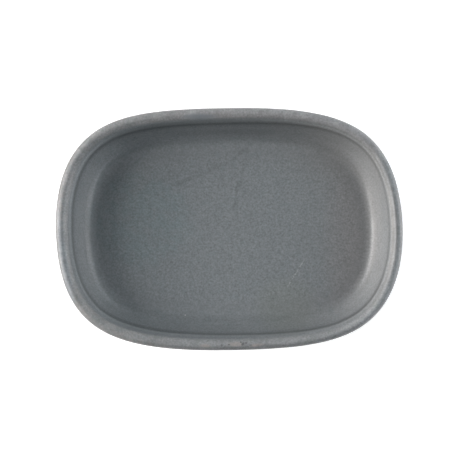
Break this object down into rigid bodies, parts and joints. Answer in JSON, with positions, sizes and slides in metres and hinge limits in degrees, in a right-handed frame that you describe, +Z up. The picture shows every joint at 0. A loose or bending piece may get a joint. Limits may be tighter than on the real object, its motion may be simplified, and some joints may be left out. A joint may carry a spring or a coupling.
{
  "type": "serving dish",
  "caption": "Shallow oblong stoneware dish: squared-off oval outline, rolled rim, sloping wall, flat floor and a bare foot ring, in matte blue-grey glaze.",
  "frame": {"origin": "middle of the foot's underside, in the plane the dish stands on", "axes": "+X along the dish, +Y across it, +Z up out of its open side"},
  "size_m": [0.2, 0.14, 0.037],
  "materials": {
    "bare_stoneware": "matte",
    "matte_glaze": "matte"
  },
  "bodies": {
    "root": {"stoneware_body": "bare_stoneware", "glaze_coat": "matte_glaze", "base_glaze": "matte_glaze"}
  },
  "joints": []
}
